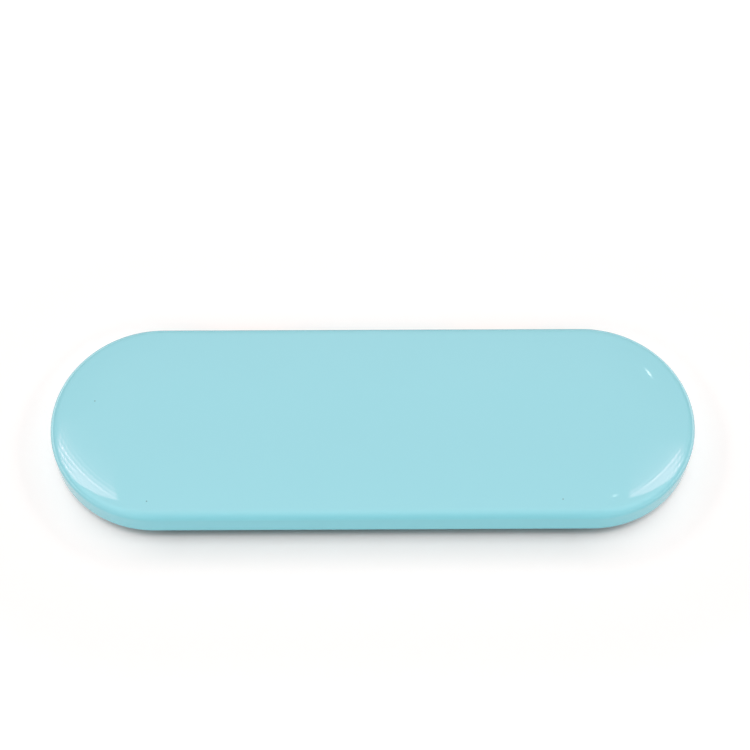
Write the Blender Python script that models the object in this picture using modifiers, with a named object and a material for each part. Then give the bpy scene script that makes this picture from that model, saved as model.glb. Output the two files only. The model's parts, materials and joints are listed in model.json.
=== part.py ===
# Pill-shaped tweezer case in pressed and enamelled tinplate.
#
# The domed lid shuts over a base that is set back inside its skirt, and swings on two small
# riveted hinges at the back. Inside are a slotted foam tray on a magnetic sheet, a velour pad
# under the lid, and a pair of facing magnets at each end that keep the lid shut.
#
# Everything is in metres. +X runs along the case, -Y is the front and +Z is up. The origin is
# the middle of the underside. The lid is modelled shut.

import math

import bmesh
import bpy

MM = 0.001

# Outer shells
CASE_LENGTH = 180 * MM
CASE_WIDTH = 60 * MM
TIN = 0.4 * MM  # thickness of the pressed sheet
RIM_HEIGHT = 3.5 * MM  # table to the lid's rim
SKIRT_HEIGHT = 6.0 * MM  # rim to the start of the shoulder
SHOULDER_RADIUS = 2.6 * MM
DOME_SLOPE = math.radians(6)  # the dome's slope where it meets the shoulder
CROWN_HALF_WIDTH = 8 * MM  # the flat middle of the dome
HEM_DEPTH = 0.9 * MM  # the folded edge of both shells, across
HEM_HEIGHT = 1.1 * MM
LID_OVERLAP = 3.5 * MM  # how far the base stands up inside the skirt
BASE_INSET = 2.3 * MM  # lid's outer face to the base's outer face
BASE_CORNER = 2.0 * MM  # radius round the foot of the base

# Clearances
FIT_GAP = 0.3 * MM  # between pieces that touch or rest on each other
PIN_GAP = 0.2 * MM  # between the hinge pin and its knuckles
RIVET_SEAT_GAP = 0.1 * MM  # between a rivet's heads and the sheet they clamp
CLOSING_GAP = 0.3 * MM  # between the facing magnets when the lid is shut

# Hinges
HINGE_CENTRE_X = 36 * MM
HINGE_WIDTH = 24 * MM
LEAF = 0.4 * MM  # thickness of the hinge leaves
PIN_RADIUS = 0.5 * MM
PIN_OVERHANG = 0.4 * MM  # how far the pin stands out of its knuckles at each end
ROLL_TURN = math.radians(300)  # how far a leaf is rolled round its pin
LID_LEAF_RISE = 5.5 * MM  # rim to the lid leaf's top edge
BASE_LEAF_RISE = 4.4 * MM  # hinge axis to the base leaf's top edge
RIVET_PITCH = 14 * MM
RIVET_SHANK_RADIUS = 0.6 * MM
RIVET_HEAD_RADIUS = 1.1 * MM
LID_RIVET_HEAD = 0.5 * MM  # thickness of the head that shows at the back
THIN_RIVET_HEAD = 0.3 * MM  # thickness of the heads between lid and base, and inside

# Inside
MAGNET_SHEET = 0.8 * MM
WELL_WIDTH = 10.4 * MM  # one pair of tweezers lying on its side
LEAST_RIB = 2.0 * MM  # foam between two wells
TRAY_EDGE = 0.6 * MM  # rounding of the tray's top edge
FINGER_WIDTH = 24 * MM
FINGER_DEPTH = 3.8 * MM
PAD_INSET = 6 * MM  # lid's outer face to the pad's edge
PAD_THICKNESS = 1.9 * MM  # at the crown
PAD_EDGE = 0.7 * MM
MAGNET_RADIUS = 4 * MM
MAGNET_THICKNESS = 2 * MM
MAGNET_BEVEL = 0.25 * MM
MAGNET_PROUD = 0.3 * MM  # how far the base magnets stand out of the tray

# Fineness of the curves, in straight steps
END_STEPS = 24  # half turn round each end of the case
DOME_STEPS = 6
SHOULDER_STEPS = 6
HEM_STEPS = 6
CORNER_STEPS = 4
ROLL_STEPS = 15
BEND_STEPS = 4
EDGE_STEPS = 2
ROUND_STEPS = 24  # whole turn round magnets and wells
SMALL_ROUND_STEPS = 12  # whole turn round pins and rivets

CUT_MARGIN = 1 * MM  # how far a cutter runs past what it cuts
WELD = 1e-7  # far below any real size here
SMOOTH_ANGLE = math.radians(35)

# Worked out from the sizes above
radius = CASE_WIDTH / 2
half_run = CASE_LENGTH / 2 - radius  # half of the straight part
skirt_top = RIM_HEIGHT + SKIRT_HEIGHT
base_rim = RIM_HEIGHT + LID_OVERLAP

dome_edge_inset = SHOULDER_RADIUS * (1 - math.sin(DOME_SLOPE))
dome_radius = (radius - CROWN_HALF_WIDTH - dome_edge_inset) / math.sin(DOME_SLOPE)
crown_inset = radius - CROWN_HALF_WIDTH
dome_centre_z = skirt_top + (SHOULDER_RADIUS - dome_radius) * math.cos(DOME_SLOPE)

roll_radius = PIN_RADIUS + PIN_GAP + LEAF / 2  # to the middle of the rolled sheet
lid_leaf_y = radius + FIT_GAP + LEAF / 2
base_leaf_y = radius - BASE_INSET + FIT_GAP + LEAF / 2
axis_y = lid_leaf_y + roll_radius
axis_z = RIM_HEIGHT - FIT_GAP - LEAF / 2 - roll_radius

hem_step = HEM_DEPTH - TIN
lid_hem_top = RIM_HEIGHT + HEM_HEIGHT + hem_step
base_hem_foot = base_rim - HEM_HEIGHT - hem_step

sheet_bottom = TIN + FIT_GAP
tray_bottom = sheet_bottom + MAGNET_SHEET + FIT_GAP
tray_inset = BASE_INSET + HEM_DEPTH + FIT_GAP
tray_radius = radius - tray_inset


def arc(centre, arc_radius, start, end, steps):
    """Points along an arc, as (inset, height). 0 faces out of the case, a quarter turn is up."""
    points = []
    for step in range(steps + 1):
        angle = start + (end - start) * step / steps
        points.append(
            (
                centre[0] - arc_radius * math.cos(angle),
                centre[1] + arc_radius * math.sin(angle),
            )
        )
    return points


def dome(depth, edge_inset):
    """The dome from its flat crown to edge_inset, depth below the lid's outer face."""
    face_radius = dome_radius - depth
    end = math.acos((crown_inset - edge_inset) / face_radius)
    return arc((crown_inset, dome_centre_z), face_radius, math.pi / 2, end, DOME_STEPS)


def dome_height(depth, inset):
    return dome(depth, inset)[-1][1]


def lid_top(depth):
    """Dome and shoulder, from the crown to the top of the skirt."""
    edge = SHOULDER_RADIUS - (SHOULDER_RADIUS - depth) * math.sin(DOME_SLOPE)
    shoulder = arc(
        (SHOULDER_RADIUS, skirt_top),
        SHOULDER_RADIUS - depth,
        math.pi / 2 - DOME_SLOPE,
        0,
        SHOULDER_STEPS,
    )
    return dome(depth, edge) + shoulder[1:]


magnet_x = half_run + (WELL_WIDTH / 2 + tray_radius) / 2
magnet_outer_inset = half_run + radius - magnet_x - MAGNET_RADIUS
lid_magnet_top = dome_height(TIN, magnet_outer_inset) - FIT_GAP
lid_magnet_bottom = lid_magnet_top - MAGNET_THICKNESS
base_magnet_top = lid_magnet_bottom - CLOSING_GAP
base_magnet_bottom = base_magnet_top - MAGNET_THICKNESS
tray_top = base_magnet_top - MAGNET_PROUD
pad_top = dome_height(TIN + FIT_GAP, crown_inset)
pad_bottom = pad_top - PAD_THICKNESS

well_count = int((2 * tray_radius - LEAST_RIB) // (WELL_WIDTH + LEAST_RIB))
rib = (2 * tray_radius - well_count * WELL_WIDTH) / (well_count + 1)
well_pitch = WELL_WIDTH + rib
outer_well_y = well_pitch * (well_count - 1) / 2


def clear_scene():
    for obj in list(bpy.data.objects):
        bpy.data.objects.remove(obj, do_unlink=True)


def new_collection(name):
    collection = bpy.data.collections.new(name)
    bpy.context.scene.collection.children.link(collection)
    return collection


def new_material(name, colour, roughness, metallic=0.0):
    material = bpy.data.materials.new(name)
    material.use_nodes = True
    surface = material.node_tree.nodes["Principled BSDF"]
    surface.inputs["Base Color"].default_value = (*colour, 1)
    surface.inputs["Roughness"].default_value = roughness
    surface.inputs["Metallic"].default_value = metallic
    return material


def new_body(name, collection, location=(0, 0, 0)):
    """An empty that carries the pieces that move together."""
    body = bpy.data.objects.new(name, None)
    body.location = location
    body.empty_display_size = 10 * MM
    collection.objects.link(body)
    return body


def finish(bm, name, collection, body, material=None):
    """Turn the bmesh into a named object that hangs on its body, where it stands."""
    mesh = bpy.data.meshes.new(name)
    bm.to_mesh(mesh)
    bm.free()
    mesh.shade_smooth()
    mesh.set_sharp_from_angle(angle=SMOOTH_ANGLE)
    if material:
        mesh.materials.append(material)
    obj = bpy.data.objects.new(name, mesh)
    obj.parent = body
    obj.location = -body.location
    collection.objects.link(obj)
    return obj


def pill(profile):
    """Run a profile of (inset, height) points round the case and close its two flat middles."""
    bm = bmesh.new()
    verts = [bm.verts.new((half_run, inset - radius, z)) for inset, z in profile]
    edges = [bm.edges.new(pair) for pair in zip(verts, verts[1:])]
    for side in (1, -1):
        turned = bmesh.ops.spin(
            bm,
            geom=verts + edges,
            cent=(side * half_run, 0, 0),
            axis=(0, 0, 1),
            angle=math.pi,
            steps=END_STEPS,
        )
        last = [e for e in turned["geom_last"] if isinstance(e, bmesh.types.BMEdge)]
        run = bmesh.ops.extrude_edge_only(bm, edges=last)["geom"]
        verts = [v for v in run if isinstance(v, bmesh.types.BMVert)]
        ends = set(verts)
        edges = [
            e
            for e in run
            if isinstance(e, bmesh.types.BMEdge) and ends.issuperset(e.verts)
        ]
        bmesh.ops.translate(bm, verts=verts, vec=(-2 * side * half_run, 0, 0))
    bmesh.ops.remove_doubles(bm, verts=bm.verts, dist=WELD)
    bmesh.ops.holes_fill(bm, edges=[e for e in bm.edges if e.is_boundary])
    bmesh.ops.recalc_face_normals(bm, faces=bm.faces)
    return bm


def cylinder(cylinder_radius, bottom, top, x, y, steps):
    """An upright cylinder."""
    bm = bmesh.new()
    bmesh.ops.create_cone(
        bm,
        cap_ends=True,
        segments=steps,
        radius1=cylinder_radius,
        radius2=cylinder_radius,
        depth=top - bottom,
    )
    bmesh.ops.translate(bm, verts=bm.verts, vec=(x, y, (bottom + top) / 2))
    return bm


def slot(slot_radius, bottom, top, start, end):
    """An upright block with round ends, from the start to the end of its middle line."""
    bm = bmesh.new()
    for x, y in (start, end):
        made = bmesh.ops.create_cone(
            bm,
            cap_ends=True,
            segments=ROUND_STEPS,
            radius1=slot_radius,
            radius2=slot_radius,
            depth=top - bottom,
        )
        bmesh.ops.translate(bm, verts=made["verts"], vec=(x, y, (bottom + top) / 2))
    hull = bmesh.ops.convex_hull(bm, input=bm.verts)
    spare = [v for v in hull["geom_interior"] if isinstance(v, bmesh.types.BMVert)]
    bmesh.ops.delete(bm, geom=spare, context="VERTS")
    kept = {f for f in hull["geom"] if isinstance(f, bmesh.types.BMFace)}
    stray = [f for f in bm.faces if f not in kept]
    bmesh.ops.delete(bm, geom=stray, context="FACES")
    return bm


def box(x_range, y_range, z_range):
    bm = bmesh.new()
    bmesh.ops.create_cube(bm, size=1)
    spans = (x_range, y_range, z_range)
    bmesh.ops.scale(bm, verts=bm.verts, vec=[high - low for low, high in spans])
    bmesh.ops.translate(bm, verts=bm.verts, vec=[(low + high) / 2 for low, high in spans])
    return bm


def cut(obj, name, bm):
    """Cut a shape out of the object with a Boolean."""
    cutter = finish(bm, name, cutters, obj.parent)
    cutter.hide_render = True
    cutter.display_type = "WIRE"
    modifier = obj.modifiers.new(name, "BOOLEAN")
    modifier.operation = "DIFFERENCE"
    modifier.solver = "EXACT"
    modifier.object = cutter


def make_lid_shell():
    hem = HEM_DEPTH / 2
    profile = lid_top(0)
    profile += arc((hem, RIM_HEIGHT + hem), hem, 0, -math.pi, HEM_STEPS)
    profile.append((HEM_DEPTH, RIM_HEIGHT + HEM_HEIGHT))
    profile.append((TIN, lid_hem_top))
    profile += reversed(lid_top(TIN))
    shell = finish(pill(profile), "lid_shell", parts, lid, enamel)
    for hinge_name, hinge_x in hinges:
        for x, label in rivet_places(hinge_x):
            hole = rivet_hole(x, radius - TIN, radius, lid_rivet_z)
            cut(shell, f"lid_hole_{hinge_name}_{label}", hole)


def make_base_shell():
    hem = HEM_DEPTH / 2
    wall = BASE_INSET + TIN
    corner = (BASE_INSET + BASE_CORNER, BASE_CORNER)
    down = -math.pi / 2
    profile = arc(corner, BASE_CORNER, down, 0, CORNER_STEPS)
    profile += arc((BASE_INSET + hem, base_rim - hem), hem, 0, math.pi, HEM_STEPS)
    profile.append((BASE_INSET + HEM_DEPTH, base_rim - HEM_HEIGHT))
    profile.append((wall, base_hem_foot))
    profile += arc(corner, BASE_CORNER - TIN, 0, down, CORNER_STEPS)
    shell = finish(pill(profile), "base_shell", parts, base, enamel)
    outer_y = radius - BASE_INSET
    for hinge_name, hinge_x in hinges:
        for x, label in rivet_places(hinge_x):
            hole = rivet_hole(x, outer_y - TIN, outer_y, base_rivet_z)
            cut(shell, f"base_hole_{hinge_name}_{label}", hole)


def make_magnet_sheet():
    inset = BASE_INSET + BASE_CORNER
    profile = [(inset, sheet_bottom + MAGNET_SHEET), (inset, sheet_bottom)]
    finish(pill(profile), "magnet_sheet", parts, base, magnet_rubber)


def make_tray():
    rounding = arc(
        (tray_inset + TRAY_EDGE, tray_top - TRAY_EDGE), TRAY_EDGE, math.pi / 2, 0, EDGE_STEPS
    )
    tray = finish(
        pill(rounding + [(tray_inset, tray_bottom)]), "tweezer_tray", parts, base, foam
    )
    low = tray_bottom - CUT_MARGIN
    high = tray_top + CUT_MARGIN
    for number in range(well_count):
        y = number * well_pitch - outer_well_y
        well = slot(WELL_WIDTH / 2, low, high, (-half_run, y), (half_run, y))
        cut(tray, f"well_{number + 1}", well)
    reach = outer_well_y - FINGER_WIDTH / 2
    trough = slot(FINGER_WIDTH / 2, tray_top - FINGER_DEPTH, high, (0, -reach), (0, reach))
    cut(tray, "finger_trough", trough)
    for side, x in ends:
        pocket = cylinder(
            MAGNET_RADIUS + FIT_GAP, base_magnet_bottom - FIT_GAP, high, x, 0, ROUND_STEPS
        )
        cut(tray, f"tray_pocket_{side}", pocket)


def make_lid_pad():
    profile = dome(TIN + FIT_GAP, PAD_INSET)
    profile += arc(
        (PAD_INSET + PAD_EDGE, pad_bottom + PAD_EDGE),
        PAD_EDGE,
        0,
        -math.pi / 2,
        EDGE_STEPS,
    )
    pad = finish(pill(profile), "lid_pad", parts, lid, velour)
    for side, x in ends:
        pocket = cylinder(
            MAGNET_RADIUS + FIT_GAP,
            pad_bottom - CUT_MARGIN,
            pad_top + CUT_MARGIN,
            x,
            0,
            ROUND_STEPS,
        )
        cut(pad, f"pad_pocket_{side}", pocket)


def make_magnet(name, bottom, x, body):
    disc = cylinder(MAGNET_RADIUS, bottom, bottom + MAGNET_THICKNESS, x, 0, ROUND_STEPS)
    magnet = finish(disc, name, parts, body, nickel)
    bevel = magnet.modifiers.new("edge", "BEVEL")
    bevel.width = MAGNET_BEVEL
    bevel.segments = 1


def roll(start):
    """A leaf's curl round the pin, as (y, z), anticlockwise from start when seen from +X."""
    points = []
    for step in range(ROLL_STEPS + 1):
        angle = start + ROLL_TURN * step / ROLL_STEPS
        points.append(
            (
                axis_y + roll_radius * math.cos(angle),
                axis_z + roll_radius * math.sin(angle),
            )
        )
    return points


def make_leaf(name, path, hinge_x, body):
    """A stamped strip: its (y, z) path runs the hinge's width and gets its thickness."""
    bm = bmesh.new()
    left = hinge_x - HINGE_WIDTH / 2
    verts = [bm.verts.new((left, y, z)) for y, z in path]
    edges = [bm.edges.new(pair) for pair in zip(verts, verts[1:])]
    swept = bmesh.ops.extrude_edge_only(bm, edges=edges)["geom"]
    moved = [v for v in swept if isinstance(v, bmesh.types.BMVert)]
    bmesh.ops.translate(bm, verts=moved, vec=(HINGE_WIDTH, 0, 0))
    leaf = finish(bm, name, parts, body, nickel)
    solidify = leaf.modifiers.new("sheet", "SOLIDIFY")
    solidify.thickness = LEAF
    solidify.offset = 0
    solidify.use_even_offset = True
    return leaf


def rivet_places(hinge_x):
    return ((hinge_x - RIVET_PITCH / 2, "1"), (hinge_x + RIVET_PITCH / 2, "2"))


def along_y(bm, x, y, z):
    """Turn a shape that stands on +Z so that it points along +Y from the given place."""
    for vert in bm.verts:
        vert.co = (x + vert.co.x, y + vert.co.z, z - vert.co.y)
    return bm


def rivet_hole(x, y_inner, y_outer, z):
    hole = cylinder(
        RIVET_SHANK_RADIUS + FIT_GAP,
        y_inner - CUT_MARGIN / 2,
        y_outer + CUT_MARGIN / 2,
        0,
        0,
        SMALL_ROUND_STEPS,
    )
    return along_y(hole, x, 0, z)


def make_rivet(name, x, z, y_inner, y_outer, outer_head, body):
    """A flat-headed rivet through the sheets between y_inner and y_outer."""
    inner = y_inner - RIVET_SEAT_GAP
    outer = y_outer + RIVET_SEAT_GAP
    profile = [
        (0, outer + outer_head),
        (RIVET_HEAD_RADIUS * 0.6, outer + outer_head),
        (RIVET_HEAD_RADIUS, outer + outer_head / 3),
        (RIVET_HEAD_RADIUS, outer),
        (RIVET_SHANK_RADIUS, outer),
        (RIVET_SHANK_RADIUS, inner),
        (RIVET_HEAD_RADIUS, inner),
        (RIVET_HEAD_RADIUS, inner - THIN_RIVET_HEAD),
        (0, inner - THIN_RIVET_HEAD),
    ]
    bm = bmesh.new()
    verts = [bm.verts.new((r, 0, height)) for r, height in profile]
    edges = [bm.edges.new(pair) for pair in zip(verts, verts[1:])]
    bmesh.ops.spin(
        bm,
        geom=verts + edges,
        cent=(0, 0, 0),
        axis=(0, 0, 1),
        angle=2 * math.pi,
        steps=SMALL_ROUND_STEPS,
    )
    bmesh.ops.remove_doubles(bm, verts=bm.verts, dist=WELD)
    bmesh.ops.recalc_face_normals(bm, faces=bm.faces)
    finish(along_y(bm, x, 0, z), name, parts, body, nickel)


def make_hinge(hinge_name, hinge_x):
    third = HINGE_WIDTH / 6  # half of the middle knuckle's share
    slack = FIT_GAP / 2
    beyond = HINGE_WIDTH / 2 + CUT_MARGIN
    clear = roll_radius + LEAF / 2 + FIT_GAP  # round the knuckles
    behind = axis_y + clear + CUT_MARGIN
    low = axis_z - clear - CUT_MARGIN

    path = [(lid_leaf_y, RIM_HEIGHT + LID_LEAF_RISE)] + roll(math.pi)
    lid_leaf = make_leaf(f"lid_hinge_leaf_{hinge_name}", path, hinge_x, lid)
    for side, label in ((-1, "a"), (1, "b")):
        span = sorted((hinge_x + side * (third - slack), hinge_x + side * beyond))
        room = box(span, (radius, behind), (low, axis_z + clear))
        cut(lid_leaf, f"lid_knuckle_gap_{hinge_name}_{label}", room)

    bend = arc((base_leaf_y + roll_radius, axis_z), roll_radius, 0, -math.pi / 2, BEND_STEPS)
    path = [(base_leaf_y, axis_z + BASE_LEAF_RISE)] + bend + roll(-math.pi / 2)
    base_leaf = make_leaf(f"base_hinge_leaf_{hinge_name}", path, hinge_x, base)
    span = (hinge_x - third - slack, hinge_x + third + slack)
    room = box(span, (axis_y - clear, behind), (low, axis_z + clear))
    cut(base_leaf, f"base_knuckle_gap_{hinge_name}", room)

    pin_half = HINGE_WIDTH / 2 + PIN_OVERHANG
    pin = cylinder(PIN_RADIUS, -pin_half, pin_half, 0, 0, SMALL_ROUND_STEPS)
    for vert in pin.verts:
        vert.co = (hinge_x + vert.co.z, axis_y + vert.co.x, axis_z + vert.co.y)
    finish(pin, f"hinge_pin_{hinge_name}", parts, base, steel)

    for x, label in rivet_places(hinge_x):
        leaf_face = lid_leaf_y + LEAF / 2
        cut(
            lid_leaf,
            f"lid_leaf_hole_{hinge_name}_{label}",
            rivet_hole(x, lid_leaf_y - LEAF, lid_leaf_y + LEAF, lid_rivet_z),
        )
        make_rivet(
            f"lid_rivet_{hinge_name}_{label}",
            x,
            lid_rivet_z,
            radius - TIN,
            leaf_face,
            LID_RIVET_HEAD,
            lid,
        )
        leaf_face = base_leaf_y + LEAF / 2
        cut(
            base_leaf,
            f"base_leaf_hole_{hinge_name}_{label}",
            rivet_hole(x, base_leaf_y - LEAF, base_leaf_y + LEAF, base_rivet_z),
        )
        make_rivet(
            f"base_rivet_{hinge_name}_{label}",
            x,
            base_rivet_z,
            radius - BASE_INSET - TIN,
            leaf_face,
            THIN_RIVET_HEAD,
            base,
        )


lid_rivet_z = (lid_hem_top + RIM_HEIGHT + LID_LEAF_RISE) / 2
base_rivet_z = (BASE_CORNER + base_hem_foot) / 2
hinges = (("left", -HINGE_CENTRE_X), ("right", HINGE_CENTRE_X))
ends = (("left", -magnet_x), ("right", magnet_x))

clear_scene()
parts = new_collection("tweezer_case")
cutters = new_collection("tweezer_case_cutters")

enamel = new_material("aqua_enamel", (0.20, 0.52, 0.59), 0.12)
nickel = new_material("nickel_plated_steel", (0.66, 0.64, 0.60), 0.25, 1)
steel = new_material("steel_wire", (0.56, 0.56, 0.57), 0.3, 1)
foam = new_material("charcoal_eva_foam", (0.030, 0.031, 0.034), 0.85)
velour = new_material("charcoal_velour", (0.035, 0.036, 0.040), 0.9)
magnet_rubber = new_material("magnetic_rubber_sheet", (0.045, 0.040, 0.036), 0.6)

base = new_body("case_base", parts)
lid = new_body("case_lid", parts, (0, axis_y, axis_z))

make_base_shell()
make_magnet_sheet()
make_tray()
make_lid_shell()
make_lid_pad()
for side_name, end_x in ends:
    make_magnet(f"base_magnet_{side_name}", base_magnet_bottom, end_x, base)
    make_magnet(f"lid_magnet_{side_name}", lid_magnet_bottom, end_x, lid)
for hinge_side, centre_x in hinges:
    make_hinge(hinge_side, centre_x)
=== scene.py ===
import json
import math

import bmesh
import bpy
from mathutils import Matrix, Vector


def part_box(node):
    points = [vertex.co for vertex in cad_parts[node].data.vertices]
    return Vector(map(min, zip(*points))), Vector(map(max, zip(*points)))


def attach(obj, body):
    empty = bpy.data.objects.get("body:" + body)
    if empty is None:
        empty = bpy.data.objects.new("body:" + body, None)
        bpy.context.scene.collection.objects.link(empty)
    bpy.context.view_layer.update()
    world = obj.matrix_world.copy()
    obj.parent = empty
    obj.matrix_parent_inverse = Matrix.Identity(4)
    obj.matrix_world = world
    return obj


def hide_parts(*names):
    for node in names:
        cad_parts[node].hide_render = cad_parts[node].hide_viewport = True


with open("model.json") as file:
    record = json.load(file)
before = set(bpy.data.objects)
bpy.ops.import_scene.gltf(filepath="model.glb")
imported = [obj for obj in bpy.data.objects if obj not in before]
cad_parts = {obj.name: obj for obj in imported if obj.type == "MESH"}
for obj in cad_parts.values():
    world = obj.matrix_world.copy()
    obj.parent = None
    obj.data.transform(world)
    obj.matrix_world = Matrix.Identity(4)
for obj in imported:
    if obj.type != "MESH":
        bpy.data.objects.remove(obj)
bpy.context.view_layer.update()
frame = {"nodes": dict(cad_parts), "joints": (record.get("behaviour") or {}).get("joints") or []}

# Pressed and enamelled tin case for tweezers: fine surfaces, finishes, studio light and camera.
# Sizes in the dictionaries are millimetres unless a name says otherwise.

mm = 0.001


def hexToLinear(code):
    # sRGB hex to linear red, green, blue and alpha
    channels = [int(code[i:i + 2], 16) / 255 for i in (1, 3, 5)]
    return (*(c / 12.92 if c <= 0.04045 else ((c + 0.055) / 1.055) ** 2.4 for c in channels), 1)


def perSize(size):
    # texture scale for a pattern whose repeat is this many millimetres
    return 1 / (size * mm)


def addNode(tree, kind, inputs=None, **settings):
    # inputs go by name or, where names repeat, by number: a colour mix takes 6 and 7 and gives output 2
    node = tree.nodes.new("ShaderNode" + kind)
    for name, value in settings.items():
        setattr(node, name, value)
    for name, value in (inputs or {}).items():
        if isinstance(value, bpy.types.NodeSocket):
            tree.links.new(value, node.inputs[name])
        else:
            node.inputs[name].default_value = value
    return node


def startMaterial(name, **surface):
    material = bpy.data.materials.new(name)
    material.use_nodes = True
    tree = material.node_tree
    shader = tree.nodes["Principled BSDF"]
    for socket, value in surface.items():
        shader.inputs[socket.replace("_", " ")].default_value = value
    coords = addNode(tree, "TexCoord").outputs["Object"]
    return material, tree, shader, coords


# Stoved enamel on tinplate, sprayed and baked: a smooth wet-looking gloss over one even colour.
enamelFinish = {
    "colour": "#80C8D3",
    "deepColour": "#7CC6D1",  # where the coat lies a touch thicker
    "ior": 1.5,
    "roughness": 0.025,
    "cloudSize": 45.0,
    "peelSize": 2.6,  # orange peel, spacing of its swellings
    "peelHeight": 0.0004,
    "speckColour": "#4E7F86",  # dust baked into the coat
    "speckRadius": 0.28,
    "speckCore": 0.4,  # share of the radius that is fully dark
    "speckDepth": 0.8,
    "specks": ((-77.7, 5.6), (-61.6, -25.2), (51.5, -25.1)),  # x, y on the lid's top
}


def makeEnamel():
    finish = enamelFinish
    material, tree, shader, coords = startMaterial(
        "stoved_enamel_tinplate", Roughness=finish["roughness"], IOR=finish["ior"]
    )
    cloud = addNode(tree, "TexNoise", {"Vector": coords, "Scale": perSize(finish["cloudSize"])})
    colour = addNode(
        tree,
        "Mix",
        {
            "Factor": cloud.outputs["Fac"],
            6: hexToLinear(finish["colour"]),
            7: hexToLinear(finish["deepColour"]),
        },
        data_type="RGBA",
    ).outputs[2]
    for x, y in finish["specks"]:
        flat = addNode(tree, "VectorMath", {0: coords, 1: (1, 1, 0)}, operation="MULTIPLY")
        gap = addNode(
            tree, "VectorMath", {0: flat.outputs["Vector"], 1: (x * mm, y * mm, 0)}, operation="DISTANCE"
        )
        inside = addNode(
            tree,
            "MapRange",
            {
                "Value": gap.outputs["Value"],
                "From Min": finish["speckRadius"] * mm,
                "From Max": finish["speckRadius"] * mm * finish["speckCore"],
                "To Max": finish["speckDepth"],
            },
        )
        colour = addNode(
            tree,
            "Mix",
            {"Factor": inside.outputs["Result"], 6: colour, 7: hexToLinear(finish["speckColour"])},
            data_type="RGBA",
        ).outputs[2]
    tree.links.new(colour, shader.inputs["Base Color"])
    peel = addNode(
        tree, "TexNoise", {"Vector": coords, "Scale": perSize(finish["peelSize"]), "Detail": 1.0}
    )
    bump = addNode(
        tree,
        "Bump",
        {"Height": peel.outputs["Fac"], "Distance": finish["peelHeight"] * mm, "Strength": 1.0},
    )
    tree.links.new(bump.outputs["Normal"], shader.inputs["Normal"])
    return material


# Bright nickel plate on stamped steel and on magnets: a warm mirror, hazed by fine rubbing.
nickelFinish = {
    "colour": "#D9D4CB",
    "roughLow": 0.14,
    "roughHigh": 0.3,
    "hazeSize": 3.5,
    "hazeRange": (0.3, 0.7),  # the noise values that the roughness runs between
    "rubSize": 0.25,  # real marks are far finer, drawn coarser to show
    "rubSquash": 0.12,  # draws the rubbing out along X
    "rubHeight": 0.0006,
}


def makeNickel():
    finish = nickelFinish
    material, tree, shader, coords = startMaterial(
        "bright_nickel_plate", Base_Color=hexToLinear(finish["colour"]), Metallic=1.0
    )
    haze = addNode(
        tree, "TexNoise", {"Vector": coords, "Scale": perSize(finish["hazeSize"]), "Detail": 5.0}
    )
    spread = addNode(
        tree,
        "MapRange",
        {
            "Value": haze.outputs["Fac"],
            "From Min": finish["hazeRange"][0],
            "From Max": finish["hazeRange"][1],
            "To Min": finish["roughLow"],
            "To Max": finish["roughHigh"],
        },
    )
    tree.links.new(spread.outputs["Result"], shader.inputs["Roughness"])
    drawn = addNode(tree, "VectorMath", {0: coords, 1: (finish["rubSquash"], 1, 1)}, operation="MULTIPLY")
    rub = addNode(
        tree, "TexNoise", {"Vector": drawn.outputs["Vector"], "Scale": perSize(finish["rubSize"])}
    )
    bump = addNode(
        tree,
        "Bump",
        {"Height": rub.outputs["Fac"], "Distance": finish["rubHeight"] * mm, "Strength": 1.0},
    )
    tree.links.new(bump.outputs["Normal"], shader.inputs["Normal"])
    return material


# Drawn steel wire: grey metal with fine lines along its length.
wireFinish = {
    "colour": "#A9A9AA",
    "roughness": 0.32,
    "lineSize": 0.09,  # real lines are near 0.02, drawn coarser to show
    "lineSquash": 0.02,  # draws the lines out along the wire
    "lineHeight": 0.002,
}


def makeWire():
    finish = wireFinish
    material, tree, shader, coords = startMaterial(
        "drawn_steel_wire",
        Base_Color=hexToLinear(finish["colour"]),
        Metallic=1.0,
        Roughness=finish["roughness"],
    )
    drawn = addNode(tree, "VectorMath", {0: coords, 1: (finish["lineSquash"], 1, 1)}, operation="MULTIPLY")
    lines = addNode(
        tree, "TexNoise", {"Vector": drawn.outputs["Vector"], "Scale": perSize(finish["lineSize"])}
    )
    bump = addNode(
        tree,
        "Bump",
        {"Height": lines.outputs["Fac"], "Distance": finish["lineHeight"] * mm, "Strength": 1.0},
    )
    tree.links.new(bump.outputs["Normal"], shader.inputs["Normal"])
    return material


# Closed-cell EVA foam, die cut: matt charcoal, peppered with the cells that the knife opened.
foamFinish = {
    "colour": "#313236",
    "cellColour": "#1E1F22",
    "roughness": 0.9,
    "cellSize": 0.55,  # real cells are near 0.2, drawn coarser to show
    "cellDepth": 0.05,
    "cloudSize": 9.0,
    "toneRange": (0.05, 0.3),  # the pattern's values that the colour runs between
}


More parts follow.
